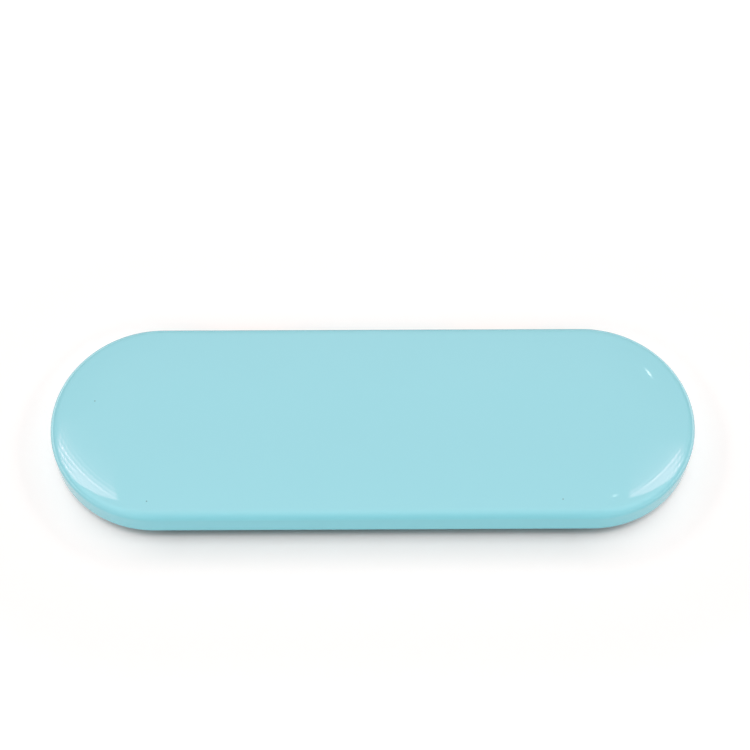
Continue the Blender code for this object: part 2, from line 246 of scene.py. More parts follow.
def makeFoam():
    finish = foamFinish
    material, tree, shader, coords = startMaterial("closed_cell_eva_foam", Roughness=finish["roughness"])
    cells = addNode(
        tree, "TexVoronoi", {"Vector": coords, "Scale": perSize(finish["cellSize"])}, feature="SMOOTH_F1"
    )
    cloud = addNode(
        tree, "TexNoise", {"Vector": coords, "Scale": perSize(finish["cloudSize"]), "Detail": 6.0}
    )
    tone = addNode(
        tree, "Math", {0: cells.outputs["Distance"], 1: cloud.outputs["Fac"]}, operation="MULTIPLY"
    )
    start, end = finish["toneRange"]
    spread = addNode(tree, "MapRange", {"Value": tone.outputs["Value"], "From Min": start, "From Max": end})
    mix = addNode(
        tree,
        "Mix",
        {
            "Factor": spread.outputs["Result"],
            6: hexToLinear(finish["cellColour"]),
            7: hexToLinear(finish["colour"]),
        },
        data_type="RGBA",
    )
    tree.links.new(mix.outputs[2], shader.inputs["Base Color"])
    bump = addNode(
        tree,
        "Bump",
        {"Height": cells.outputs["Distance"], "Distance": finish["cellDepth"] * mm, "Strength": 1.0},
    )
    tree.links.new(bump.outputs["Normal"], shader.inputs["Normal"])
    return material


# Warp-knit velour over foam: short upright pile, dark face on, paler where seen along the pile.
velourFinish = {
    "colour": "#2C2D31",
    "brushedColour": "#3A3B40",
    "roughness": 0.95,
    "sheen": 0.5,
    "sheenRoughness": 0.4,
    "pileSize": 0.3,
    "pileHeight": 0.06,
    "brushSize": 14.0,  # strokes that a hand leaves in the pile
    "brushTwist": 1.2,
    "toneRange": (0.14, 0.38),
}


def makeVelour():
    finish = velourFinish
    material, tree, shader, coords = startMaterial(
        "warp_knit_velour",
        Roughness=finish["roughness"],
        Sheen_Weight=finish["sheen"],
        Sheen_Roughness=finish["sheenRoughness"],
    )
    pile = addNode(
        tree, "TexNoise", {"Vector": coords, "Scale": perSize(finish["pileSize"]), "Detail": 3.0}
    )
    brush = addNode(
        tree,
        "TexNoise",
        {
            "Vector": coords,
            "Scale": perSize(finish["brushSize"]),
            "Detail": 2.0,
            "Distortion": finish["brushTwist"],
        },
    )
    tone = addNode(tree, "Math", {0: pile.outputs["Fac"], 1: brush.outputs["Fac"]}, operation="MULTIPLY")
    start, end = finish["toneRange"]
    spread = addNode(tree, "MapRange", {"Value": tone.outputs["Value"], "From Min": start, "From Max": end})
    mix = addNode(
        tree,
        "Mix",
        {
            "Factor": spread.outputs["Result"],
            6: hexToLinear(finish["colour"]),
            7: hexToLinear(finish["brushedColour"]),
        },
        data_type="RGBA",
    )
    tree.links.new(mix.outputs[2], shader.inputs["Base Color"])
    bump = addNode(
        tree,
        "Bump",
        {"Height": pile.outputs["Fac"], "Distance": finish["pileHeight"] * mm, "Strength": 1.0},
    )
    tree.links.new(bump.outputs["Normal"], shader.inputs["Normal"])
    return material


# Calendered magnetic rubber: dull brown-black sheet with the faint lines of the rollers.
rubberFinish = {
    "colour": "#35312E",
    "dustColour": "#423D39",
    "roughness": 0.55,
    "lineSize": 10.0,
    "lineWander": 0.4,
    "lineHeight": 0.01,
    "dustSize": 4.0,
}


def makeRubber():
    finish = rubberFinish
    material, tree, shader, coords = startMaterial("magnetic_rubber_sheet", Roughness=finish["roughness"])
    period = 2 * math.pi / 20  # how far apart the bands of a wave texture of scale 1 are
    lines = addNode(
        tree,
        "TexWave",
        {
            "Vector": coords,
            "Scale": perSize(finish["lineSize"]) * period,
            "Distortion": finish["lineWander"],
        },
        bands_direction="Y",
    )
    dust = addNode(
        tree, "TexNoise", {"Vector": coords, "Scale": perSize(finish["dustSize"]), "Detail": 8.0}
    )
    mix = addNode(
        tree,
        "Mix",
        {
            "Factor": dust.outputs["Fac"],
            6: hexToLinear(finish["colour"]),
            7: hexToLinear(finish["dustColour"]),
        },
        data_type="RGBA",
    )
    tree.links.new(mix.outputs[2], shader.inputs["Base Color"])
    bump = addNode(
        tree,
        "Bump",
        {"Height": lines.outputs["Fac"], "Distance": finish["lineHeight"] * mm, "Strength": 1.0},
    )
    tree.links.new(bump.outputs["Normal"], shader.inputs["Normal"])
    return material


enamel = makeEnamel()
nickel = makeNickel()
wire = makeWire()
foam = makeFoam()
velour = makeVelour()
rubber = makeRubber()
print("finishes ready")


# Shapes shared by the pieces

sharpAngle = math.radians(32)
edgeAngle = math.radians(50)  # only edges sharper than this are rounded
holdStep = 0.06
discSteps = 64
shellLow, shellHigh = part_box("lid_shell")
caseRadius = (shellHigh.y - shellLow.y) / 2
halfRun = (shellHigh.x - shellLow.x) / 2 - caseRadius  # half the straight middle


def arc(centre, radius, start, end, steps):
    # (inset, height) points: 0 faces out of the case, a quarter turn is up. A short first and last
    # step keep the shading of what it joins from bending the shading of the arc.
    points = []
    for step in [0, holdStep] + list(range(1, steps)) + [steps - holdStep, steps]:
        angle = math.radians(start + (end - start) * step / steps)
        points.append((centre[0] - radius * math.cos(angle), centre[1] + radius * math.sin(angle)))
    return points


def sweepRoundCase(profile, endSteps=96, runSteps=24):
    # runs a profile of (inset, height) once round the pill outline and closes the flat middles
    stations = []
    for side in (1, -1):
        for step in range(endSteps + 1):
            angle = math.pi * (step / endSteps - 0.5) + (0 if side > 0 else math.pi)
            stations.append((side * halfRun, math.cos(angle), math.sin(angle)))
        for step in range(1, runSteps):
            x = side * halfRun * (1 - 2 * step / runSteps)
            stations.append((x, 0, side))
    bm = bmesh.new()
    rings = []
    for x, outX, outY in stations:
        ring = []
        for inset, z in profile:
            reach = caseRadius - inset
            ring.append(bm.verts.new((x + outX * reach, outY * reach, z)))
        rings.append(ring)
    for ring, following in zip(rings, rings[1:] + rings[:1]):
        for i in range(len(profile) - 1):
            bm.faces.new((ring[i], following[i], following[i + 1], ring[i + 1]))
    bmesh.ops.holes_fill(bm, edges=[e for e in bm.edges if e.is_boundary])
    bmesh.ops.recalc_face_normals(bm, faces=bm.faces)
    return bm


def turnProfile(profile, steps, axis, centre):
    # turns a profile of (radius, height) about an axis through the centre
    bm = bmesh.new()
    verts = [bm.verts.new((r, 0, height)) for r, height in profile]
    edges = [bm.edges.new(pair) for pair in zip(verts, verts[1:])]
    bmesh.ops.spin(
        bm, geom=verts + edges, cent=(0, 0, 0), axis=(0, 0, 1), angle=2 * math.pi, steps=steps
    )
    bmesh.ops.remove_doubles(bm, verts=bm.verts, dist=1e-7)
    bmesh.ops.recalc_face_normals(bm, faces=bm.faces)
    facing = Vector((0, 0, 1)).rotation_difference(Vector(axis)).to_matrix().to_4x4()
    bmesh.ops.transform(bm, matrix=Matrix.Translation(centre) @ facing, verts=bm.verts)
    return bm


def addDisc(bm, radius, bottom, top, x, y):
    made = bmesh.ops.create_cone(
        bm, cap_ends=True, segments=discSteps, radius1=radius, radius2=radius, depth=top - bottom
    )
    bmesh.ops.translate(bm, verts=made["verts"], vec=(x, y, (bottom + top) / 2))


def slotShape(radius, bottom, top, start, end):
    # a round-ended block from one (x, y) to another
    bm = bmesh.new()
    for x, y in (start, end):
        addDisc(bm, radius, bottom, top, x, y)
    hull = bmesh.ops.convex_hull(bm, input=bm.verts)
    spare = [v for v in hull["geom_interior"] if isinstance(v, bmesh.types.BMVert)]
    bmesh.ops.delete(bm, geom=spare, context="VERTS")
    kept = {f for f in hull["geom"] if isinstance(f, bmesh.types.BMFace)}
    bmesh.ops.delete(bm, geom=[f for f in bm.faces if f not in kept], context="FACES")
    return bm


def toObject(name, bm, material=None):
    mesh = bpy.data.meshes.new(name)
    bm.to_mesh(mesh)
    bm.free()
    obj = bpy.data.objects.new(name, mesh)
    bpy.context.scene.collection.objects.link(obj)
    if material:
        mesh.materials.append(material)
    return obj


def cutAway(obj, shapes):
    cutters = [toObject(f"{obj.name}_cutter", bm) for bm in shapes]
    for cutter in cutters:
        modifier = obj.modifiers.new(cutter.name, "BOOLEAN")
        modifier.operation = "DIFFERENCE"
        modifier.solver = "EXACT"
        modifier.object = cutter
    settle(obj)
    for cutter in cutters:
        bpy.data.objects.remove(cutter)


def settle(obj):
    # applies the modifiers, so that what is left is one plain mesh
    bpy.context.view_layer.update()
    graph = bpy.context.evaluated_depsgraph_get()
    mesh = bpy.data.meshes.new_from_object(obj.evaluated_get(graph))
    obj.modifiers.clear()
    obj.data = mesh


def roundEdges(obj, width, segments):
    modifier = obj.modifiers.new("edges", "BEVEL")
    modifier.width = width * mm
    modifier.segments = segments
    modifier.limit_method = "ANGLE"
    modifier.angle_limit = edgeAngle
    settle(obj)


def smooth(obj):
    obj.data.shade_smooth()
    obj.data.set_sharp_from_angle(angle=sharpAngle)


def place(obj, body, slotName, *nodes):
    smooth(obj)
    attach(obj, body)
    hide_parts(*nodes)


# Shells

lidPress = {
    "sheet": 0.4,
    "shoulder": 2.6,
    "domeSlope": 6.0,  # degrees, where the dome meets the shoulder
    "crownHalfWidth": 8.0,  # half the level strip along the middle
    "hemDepth": 0.9,
    "hemHeight": 1.1,
    "domeSteps": 28,
    "shoulderSteps": 20,
    "skirtSteps": 4,
    "hemSteps": 14,
}
basePress = {"foot": 2.0, "footSteps": 10}
rivetSizes = {
    "shank": 0.6,
    "hole": 0.9,
    "headRise": 0.5,
    "thinHead": 0.3,
    "thinRim": ((0.94, 1), (1, 0.75), (1, 0.2), (0.9, 0)),  # shares of its radius and of its height
    "headSteps": 10,
    "steps": 40,
}

rimHeight = shellLow.z
lidTop = shellHigh.z
shoulder = lidPress["shoulder"] * mm
sheet = lidPress["sheet"] * mm
hemDepth = lidPress["hemDepth"] * mm
hemHeight = lidPress["hemHeight"] * mm
slope = math.radians(lidPress["domeSlope"])
crownInset = caseRadius - lidPress["crownHalfWidth"] * mm
domeEdge = shoulder * (1 - math.sin(slope))
domeRadius = (crownInset - domeEdge) / math.sin(slope)
domeCentre = lidTop - domeRadius
skirtTop = domeCentre + (domeRadius - shoulder) * math.cos(slope)


def domeFace(depth, edge, steps):
    # the dome, this deep below its outer face, from the level strip out to an inset
    radius = domeRadius - depth
    end = math.degrees(math.acos((crownInset - edge) / radius))
    return arc((crownInset, domeCentre), radius, 90, end, steps)


def lidFace(depth):
    # the dome and the shoulder, this deep below their outer face
    edge = shoulder - (shoulder - depth) * math.sin(slope)
    rounding = arc(
        (shoulder, skirtTop), shoulder - depth, 90 - lidPress["domeSlope"], 0, lidPress["shoulderSteps"]
    )
    return domeFace(depth, edge, lidPress["domeSteps"]) + rounding[1:]


def rivetHoles(prefix, low, high):
    # what drills the rivets' holes, from low to high along Y
    shapes = []
    for name in frame["nodes"]:
        if name.startswith(prefix):
            lo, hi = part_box(name)
            middle = (lo + hi) / 2
            radius = rivetSizes["hole"] * mm
            profile = [(0, high), (radius, high), (radius, low), (0, low)]
            shapes.append(turnProfile(profile, rivetSizes["steps"], (0, 1, 0), (middle.x, 0, middle.z)))
    return shapes


def makeLidShell():
    hem = hemDepth / 2
    drop = (skirtTop - rimHeight - hem) / lidPress["skirtSteps"]
    profile = lidFace(0)
    profile += [(0, skirtTop - drop * step) for step in range(1, lidPress["skirtSteps"])]
    profile += arc((hem, rimHeight + hem), hem, 0, -180, lidPress["hemSteps"])
    profile.append((hemDepth, rimHeight + hemHeight))
    profile.append((sheet, rimHeight + hemHeight + hemDepth - sheet))
    profile += reversed(lidFace(sheet))
    shell = toObject("lid_shell_enamelled", sweepRoundCase(profile), enamel)
    cutAway(shell, rivetHoles("lid_rivet", caseRadius - 3 * sheet, caseRadius + sheet))
    place(shell, "lid", "aqua_enamel", "lid_shell")


def makeBaseShell():
    low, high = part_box("base_shell")
    inset = caseRadius - high.y
    foot = basePress["foot"] * mm
    hem = hemDepth / 2
    corner = (inset + foot, low.z + foot)
    profile = arc(corner, foot, -90, 0, basePress["footSteps"])
    profile += arc((inset + hem, high.z - hem), hem, 0, 180, lidPress["hemSteps"])
    profile.append((inset + hemDepth, high.z - hemHeight))
    profile.append((inset + sheet, high.z - hemHeight - hemDepth + sheet))
    profile += arc(corner, foot - sheet, 0, -90, basePress["footSteps"])
    shell = toObject("base_shell_enamelled", sweepRoundCase(profile), enamel)
    cutAway(shell, rivetHoles("base_rivet", high.y - 3 * sheet, high.y + sheet))
    place(shell, "base", "aqua_enamel", "base_shell")


makeLidShell()
makeBaseShell()
print("shells pressed")


# Foam tray, and the velour pad under the lid

trayCut = {
    "wells": 4,
    "wellWidth": 10.4,
    "fingerWidth": 24.0,
    "fingerDepth": 3.8,
    "pocketGap": 0.3,
    "topEdge": 0.6,
    "topSteps": 6,
    "edge": 0.35,
    "edgeSegments": 3,
    "margin": 1.0,  # how far a cutter runs past what it cuts
    "endSteps": 72,
    "runSteps": 12,
}


def makeTray():
    low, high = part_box("tweezer_tray")
    size = trayCut
    inset = caseRadius - high.y
    top = size["topEdge"] * mm
    profile = arc((inset + top, high.z - top), top, 90, 0, size["topSteps"]) + [(inset, low.z)]
    swept = sweepRoundCase(profile, size["endSteps"], size["runSteps"])
    tray = toObject("tweezer_tray_foam", swept, foam)
    wellRadius = size["wellWidth"] * mm / 2
    margin = size["margin"] * mm
    rib = (2 * high.y - size["wells"] * wellRadius * 2) / (size["wells"] + 1)
    pitch = 2 * wellRadius + rib
    outerWell = pitch * (size["wells"] - 1) / 2
    shapes = []
    for number in range(size["wells"]):
        y = number * pitch - outerWell
        ends = ((-halfRun, y), (halfRun, y))
        shapes.append(slotShape(wellRadius, low.z - margin, high.z + margin, *ends))
    finger = size["fingerWidth"] * mm / 2
    reach = outerWell - finger
    bottom = high.z - size["fingerDepth"] * mm
    shapes.append(slotShape(finger, bottom, high.z + margin, (0, -reach), (0, reach)))
    for side in ("left", "right"):
        discLow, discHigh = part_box(f"base_magnet_{side}")
        gap = size["pocketGap"] * mm
        pocket = bmesh.new()
        radius = (discHigh.x - discLow.x) / 2 + gap
        middle = (discLow + discHigh) / 2
        addDisc(pocket, radius, discLow.z - gap, high.z + margin, middle.x, middle.y)
        shapes.append(pocket)
    cutAway(tray, shapes)
    roundEdges(tray, size["edge"], size["edgeSegments"])
    place(tray, "base", "charcoal_foam", "tweezer_tray")


padForm = {
    "crown": 0.4,  # how far the middle stands below the edge
    "crownRun": 9.0,  # from the edge to the level middle
    "edge": 0.38,
    "holeGap": 0.3,
    "holeEdge": 0.3,
    "holeSegments": 3,
    "margin": 1.0,
    "topSteps": 20,
    "edgeSteps": 8,
    "crownSteps": 12,
    "endSteps": 72,
    "runSteps": 36,
}


def makePad():
    low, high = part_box("lid_pad")
    size = padForm
    inset = caseRadius - high.y
    edge = size["edge"] * mm
    crown = size["crown"] * mm
    run = size["crownRun"] * mm
    top = domeFace(lidTop - high.z, inset, size["topSteps"])
    lift = low.z + crown
    profile = top + arc((inset + edge, lift + edge), edge, 0, -90, size["edgeSteps"])
    for step in range(1, size["crownSteps"] + 1):
        t = step / size["crownSteps"]
        profile.append((inset + edge + run * t, lift - crown * math.sin(t * math.pi / 2)))
    swept = sweepRoundCase(profile, size["endSteps"], size["runSteps"])
    pad = toObject("lid_pad_velour", swept, velour)
    margin = size["margin"] * mm
    holes = []
    for side in ("left", "right"):
        discLow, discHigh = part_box(f"lid_magnet_{side}")
        middle = (discLow + discHigh) / 2
        hole = bmesh.new()
        radius = (discHigh.x - discLow.x) / 2 + size["holeGap"] * mm
        addDisc(hole, radius, low.z - margin, high.z + margin, middle.x, middle.y)
        holes.append(hole)
    cutAway(pad, holes)
    roundEdges(pad, size["holeEdge"], size["holeSegments"])
    place(pad, "lid", "charcoal_velour", "lid_pad")


makeTray()
makePad()
sheetNode = frame["nodes"]["magnet_sheet"]
sheetNode.data.materials.clear()
sheetNode.data.materials.append(rubber)
print("tray and pad laid in")


# Magnets, hinges and rivets

magnetForm = {"edge": 0.25, "edgeSteps": 4, "steps": 72}


def makeMagnet(node, body):
    lo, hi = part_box(node)
    radius = (hi.x - lo.x) / 2
    edge = magnetForm["edge"] * mm
    middle = (lo + hi) / 2
    half = (hi.z - lo.z) / 2
    profile = [(0, half), (radius - edge, half)]
    for step in range(1, magnetForm["edgeSteps"] + 1):
        angle = math.pi / 2 * (1 - step / magnetForm["edgeSteps"])
        profile.append((radius - edge + edge * math.cos(angle), half - edge + edge * math.sin(angle)))
    profile += [(r, -z) for r, z in reversed(profile[1:])] + [(0, -half)]
    disc = toObject(f"{node}_plated", turnProfile(profile, magnetForm["steps"], (0, 0, 1), middle), nickel)
    place(disc, body, "nickel_plating", node)


def makeRivet(node, body, headRise):
    lo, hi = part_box(node)
    middle = (lo + hi) / 2
    half = (hi.y - lo.y) / 2
    head = (hi.x - lo.x) / 2
    shank = rivetSizes["shank"] * mm
    rise = headRise * mm
    thin = rivetSizes["thinHead"] * mm
    profile = []
    for step in range(rivetSizes["headSteps"] + 1):
        angle = math.pi / 2 * step / rivetSizes["headSteps"]
        profile.append((head * math.sin(angle), half - rise * (1 - math.cos(angle))))
    profile += [(shank, half - rise), (shank, thin - half)]
    profile += [(head * out, thin * up - half) for out, up in rivetSizes["thinRim"]] + [(0, -half)]
    rivet = toObject(f"{node}_headed", turnProfile(profile, rivetSizes["steps"], (0, 1, 0), middle), nickel)
    place(rivet, body, "nickel_plating", node)


hingeForm = {
    "sheet": 0.4,
    "pinGap": 0.2,  # between the pin and the rolls round it
    "gap": 0.3,  # between knuckles
    "rollTurn": 300,  # degrees that a leaf's end is rolled round
    "rollSteps": 40,
    "bendSteps": 10,
    "stemSteps": 4,
    "edge": 0.07,
    "edgeSegments": 2,
    "pinTip": 0.12,
    "pinSteps": 40,
    "margin": 1.0,  # how far a cutter runs past a leaf
}
axisPoint = Vector(frame["joints"][0]["pos_m"])
leafSheet = hingeForm["sheet"] * mm
pinLow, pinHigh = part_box("hinge_pin_left")
pinRadius = (pinHigh.y - pinLow.y) / 2
rollRadius = pinRadius + hingeForm["pinGap"] * mm + leafSheet / 2  # to the middle of the sheet
knuckleGap = hingeForm["gap"] * mm
clear = rollRadius + leafSheet / 2 + knuckleGap  # each leaf keeps the other's knuckles free out to here
pastLeaf = hingeForm["margin"] * mm


def leafRoll(start):
    # a leaf's end, rolled round the pin
    points = []
    for step in range(hingeForm["rollSteps"] + 1):
        angle = math.radians(start + hingeForm["rollTurn"] * step / hingeForm["rollSteps"])
        y = axisPoint.y + rollRadius * math.cos(angle)
        points.append((y, axisPoint.z + rollRadius * math.sin(angle)))
    return points


def sweepLeaf(name, path, left, width):
    bm = bmesh.new()
    verts = [bm.verts.new((left, y, z)) for y, z in path]
    edges = [bm.edges.new(pair) for pair in zip(verts, verts[1:])]
    swept = bmesh.ops.extrude_edge_only(bm, edges=edges)["geom"]
    moved = [v for v in swept if isinstance(v, bmesh.types.BMVert)]
    bmesh.ops.translate(bm, verts=moved, vec=(width, 0, 0))
    leaf = toObject(name, bm, nickel)
    thicken = leaf.modifiers.new("sheet", "SOLIDIFY")
    thicken.thickness = leafSheet
    thicken.offset = 0
    thicken.use_even_offset = True
    settle(leaf)
    return leaf


def knuckleRoom(left, right, front):
    # a block, cut from one leaf for a knuckle of the other
    spans = (
        (left, right),
        (front, axisPoint.y + clear + pastLeaf),
        (axisPoint.z - clear - pastLeaf, axisPoint.z + clear),
    )
    bm = bmesh.new()
    bmesh.ops.create_cube(bm, size=1)
    bmesh.ops.scale(bm, verts=bm.verts, vec=[high - low for low, high in spans])
    bmesh.ops.translate(bm, verts=bm.verts, vec=[(low + high) / 2 for low, high in spans])
    return bm


def makeLeaf(body, side, path, rooms):
    node = f"{body}_hinge_leaf_{side}"
    low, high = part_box(node)
    leaf = sweepLeaf(f"{node}_stamped", path, low.x, high.x - low.x)
    plateY = path[0][0]
    holes = rivetHoles(f"{body}_rivet_{side}", plateY - leafSheet, plateY + leafSheet)
    cutAway(leaf, rooms + holes)
    roundEdges(leaf, hingeForm["edge"], hingeForm["edgeSegments"])
    place(leaf, body, "nickel_plating", node)


def makeLidLeaf(side):
    # one knuckle in the middle, straight down from the skirt
    low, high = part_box(f"lid_hinge_leaf_{side}")
    y = axisPoint.y - rollRadius
    drop = (high.z - axisPoint.z) / hingeForm["stemSteps"]
    path = [(y, high.z - drop * step) for step in range(hingeForm["stemSteps"])] + leafRoll(180)
    third = (high.x - low.x) / 3
    rooms = [
        knuckleRoom(low.x - pastLeaf, low.x + third + knuckleGap / 2, caseRadius),
        knuckleRoom(high.x - third - knuckleGap / 2, high.x + pastLeaf, caseRadius),
    ]
    makeLeaf("lid", side, path, rooms)


def makeBaseLeaf(side):
    # two knuckles, on a leaf that bends out from the base's wall to meet the pin
    low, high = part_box(f"base_hinge_leaf_{side}")
    wallY = low.y + leafSheet / 2
    path = [(wallY, high.z), (wallY, (high.z + axisPoint.z) / 2)]
    for step in range(hingeForm["bendSteps"] + 1):
        angle = math.pi * (1 + step / hingeForm["bendSteps"] / 2)
        y = wallY + rollRadius + rollRadius * math.cos(angle)
        path.append((y, axisPoint.z + rollRadius * math.sin(angle)))
    third = (high.x - low.x) / 3
    left = low.x + third - knuckleGap / 2
    right = high.x - third + knuckleGap / 2
    makeLeaf("base", side, path + leafRoll(-90), [knuckleRoom(left, right, axisPoint.y - clear)])


def makePin(side):
    node = f"hinge_pin_{side}"
    low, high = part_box(node)
    half = (high.x - low.x) / 2
    tip = hingeForm["pinTip"] * mm
    profile = [(0, half), (pinRadius - tip, half), (pinRadius, half - tip)]
    profile += [(r, -x) for r, x in reversed(profile)]
    centre = ((low.x + high.x) / 2, axisPoint.y, axisPoint.z)
    pin = toObject(f"{node}_wire", turnProfile(profile, hingeForm["pinSteps"], (1, 0, 0), centre), wire)
    place(pin, "base", "steel_wire", node)


for side in ("left", "right"):
    makeMagnet(f"base_magnet_{side}", "base")
    makeMagnet(f"lid_magnet_{side}", "lid")
    makeLidLeaf(side)
    makeBaseLeaf(side)
    makePin(side)
    for number in (1, 2):
        makeRivet(f"lid_rivet_{side}_{number}", "lid", rivetSizes["headRise"])
        makeRivet(f"base_rivet_{side}_{number}", "base", rivetSizes["thinHead"])
print("magnets and hinges fitted")


# Camera, fitted to the photograph's view

shot = {
    "distance": 520.27,  # from the lens to the aim
    "tilt": 60.55,  # degrees below level
    "turn": 0.72,  # degrees round the case
    "roll": 0.40,  # degrees
    "aim": (0.468, 18.85),  # point on the rim's plane in the middle of the picture
    "lens": 86.78,
    "sensor": 36,
    "clip": 10,  # nothing nearer the lens than this is drawn
}


def makeCamera():
    tilt = math.radians(shot["tilt"])
    forward = Vector((0, math.cos(tilt), -math.sin(tilt)))
    right = Vector((1, 0, 0))
    up = Vector((0, math.sin(tilt), math.cos(tilt)))
    stand = Vector((*shot["aim"], 0)) - shot["distance"] * forward
    roll = math.radians(shot["roll"])
    rolledRight = math.cos(roll) * right + math.sin(roll) * up
    rolledUp = math.cos(roll) * up - math.sin(roll) * right
    facing = Matrix((rolledRight, rolledUp, -forward)).transposed().to_4x4()
    facing.translation = stand * mm
    data = bpy.data.cameras.new("camera")
    data.sensor_width = shot["sensor"]
    data.lens = shot["lens"]
    data.clip_start = shot["clip"] * mm
    camera = bpy.data.objects.new("camera", data)
    bpy.context.scene.collection.objects.link(camera)
    turned = Matrix.Rotation(-math.radians(shot["turn"]), 4, "Z") @ facing
    camera.matrix_world = Matrix.Translation((0, 0, rimHeight)) @ turned
    bpy.context.scene.camera = camera


makeCamera()


# Studio: a white paper sweep in a pale tent, two softboxes overhead, low fills for single shells, and
# what only gloss sees: a silk dome, a gridded panel at each end and two small bare lamps

studio = {
    "floorSize": 8.0,  # metres
    "floorColour": "#EDE6E4",
    "lifts": (
        # painted light: the paper glows for the camera, lightening the case's shadow: how much, and from
        # where to where off the case's outline
        (0.25, -1.6, 0.6),
        (0.1, 4, 14),
        (0.8, 30, 150),
    ),
    "endLift": (0.28, 55, 86),  # more of that painted light beside the ends, lightening the shadow there: how much, and from where to where along X
    "endFade": 10.0,  # gone this far off the outline
    "glossLift": 0.07,  # how bright the paper is for gloss everywhere
    "glossLifts": (
        # painted reflection, the same for gloss alone along X: a glow of the paper beside each end, and a
        # brighter one beyond it
        (0.35, 58, 84),
        (2.4, 95, 145),
    ),
    "tent": 0.3,  # its strength as a light, while camera and gloss see it plain white
    "domeRadius": 0.2,  # metres
    "domeSegments": (64, 32),
    "domeRise": 2.0,  # its foot stands this far off the floor
    "domeGlow": 3.0,
    "domeFull": 85,  # degrees up, from where the silk is fully bright in front
    "domeSides": (10, 65),  # degrees off the front, from dark to bright down to the floor
    "domeSkirt": 0.3,  # how bright it is low down at the sides
    "domeSkirtUp": (6, 30, 50),  # degrees up, where that ends: from, to at the sides, to at the back
    "domeBack": (85, 115),  # degrees off the front, over which the sides pass into the back
    "softboxes": (
        # name, azimuth from +Y towards +X and elevation in degrees, metres away, width, depth,
        # radiance, and the one shell that it lights, if not everything
        ("overhead_strip", 0, 72, 1.2, 3.2, 1.3, 0.62, ""),
        ("overhead_bar", 0, 84, 1.2, 3.2, 0.4, 1.1, ""),
        ("front_fill", 180, 12, 1.5, 2.4, 0.5, 1.45, "lid"),
        ("left_fill", -135, 12, 1.5, 1.2, 0.5, 2.4, "lid"),
        ("right_fill", 135, 12, 1.5, 1.2, 0.5, 2.4, "lid"),
        ("back_fill", 0, 12, 1.5, 2.4, 0.5, 0.9, "lid"),
        ("base_fill", 180, 12, 1.5, 2.4, 0.5, 0.8, "base"),
    ),
}


def paperLift(tree, along, fromRun):
    # painted light: brightness the paper adds for the camera, which lightens the case's shadow near it and
    # beside the ends
    amount, start, end = studio["endLift"]
    atEnds = addNode(
        tree, "MapRange", {"Value": along, "From Min": start * mm, "From Max": end * mm, "To Max": amount}
    )
    fading = addNode(
        tree,
        "MapRange",
        {
            "Value": fromRun,
            "From Min": caseRadius,
            "From Max": caseRadius + studio["endFade"] * mm,
            "To Min": 1.0,
            "To Max": 0.0,
        },
    )
    total = addNode(
        tree, "Math", {0: atEnds.outputs["Result"], 1: fading.outputs["Result"]}, operation="MULTIPLY"
    ).outputs["Value"]
    for amount, start, end in studio["lifts"]:
        around = addNode(
            tree,
            "MapRange",
            {
                "Value": fromRun,
                "From Min": caseRadius + start * mm,
                "From Max": caseRadius + end * mm,
                "To Max": amount,
            },
            interpolation_type="SMOOTHSTEP",
        ).outputs["Result"]
        total = addNode(tree, "Math", {0: total, 1: around}, operation="ADD").outputs["Value"]
    return total


def paperGloss(tree, along):
    # painted reflection: brightness the paper adds for gloss alone, more beside and beyond the ends
    total = studio["glossLift"]
    for amount, start, end in studio["glossLifts"]:
        card = addNode(
            tree,
            "MapRange",
            {"Value": along, "From Min": start * mm, "From Max": end * mm, "To Max": amount},
            interpolation_type="SMOOTHSTEP",
        ).outputs["Result"]
        total = addNode(tree, "Math", {0: total, 1: card}, operation="ADD").outputs["Value"]
    return total


def makeFloor():
    bm = bmesh.new()
    bmesh.ops.create_grid(bm, x_segments=1, y_segments=1, size=studio["floorSize"] / 2)
    floor = toObject("white_sweep", bm)
    material, tree, shader, coords = startMaterial(
        "matt_white_paper",
        Base_Color=hexToLinear(studio["floorColour"]),
        Roughness=1.0,
        Specular_IOR_Level=0.0,
        Emission_Color=(1, 1, 1, 1),
    )
    path = addNode(tree, "LightPath")
    folded = addNode(tree, "VectorMath", {0: coords}, operation="ABSOLUTE").outputs["Vector"]
    along = addNode(tree, "SeparateXYZ", {"Vector": folded}).outputs["X"]
    beyond = addNode(tree, "VectorMath", {0: folded, 1: (halfRun, 0, 0)}, operation="SUBTRACT")
    beyond = addNode(tree, "VectorMath", {0: beyond.outputs["Vector"], 1: (0, 0, 0)}, operation="MAXIMUM")
    fromRun = addNode(tree, "VectorMath", {0: beyond.outputs["Vector"]}, operation="LENGTH")
    lift = paperLift(tree, along, fromRun.outputs["Value"])
    gloss = addNode(
        tree, "Math", {0: path.outputs["Is Glossy Ray"], 1: paperGloss(tree, along)}, operation="MULTIPLY"
    )
    glow = addNode(
        tree,
        "Math",
        {0: path.outputs["Is Camera Ray"], 1: lift, 2: gloss.outputs["Value"]},
        operation="MULTIPLY_ADD",
    )
    tree.links.new(glow.outputs["Value"], shader.inputs["Emission Strength"])
    floor.data.materials.append(material)


def makeTent():
    world = bpy.data.worlds.new("tent")
    bpy.context.scene.world = world
    world.use_nodes = True
    tree = world.node_tree
    path = addNode(tree, "LightPath")
    seen = addNode(
        tree,
        "Math",
        {0: path.outputs["Is Camera Ray"], 1: path.outputs["Is Glossy Ray"]},
        operation="MAXIMUM",
    )
    strength = addNode(
        tree, "MapRange", {"Value": seen.outputs["Value"], "To Min": studio["tent"], "To Max": 1.0}
    )
    background = tree.nodes["Background"]
    background.inputs["Color"].default_value = (1, 1, 1, 1)
    tree.links.new(strength.outputs["Result"], background.inputs["Strength"])


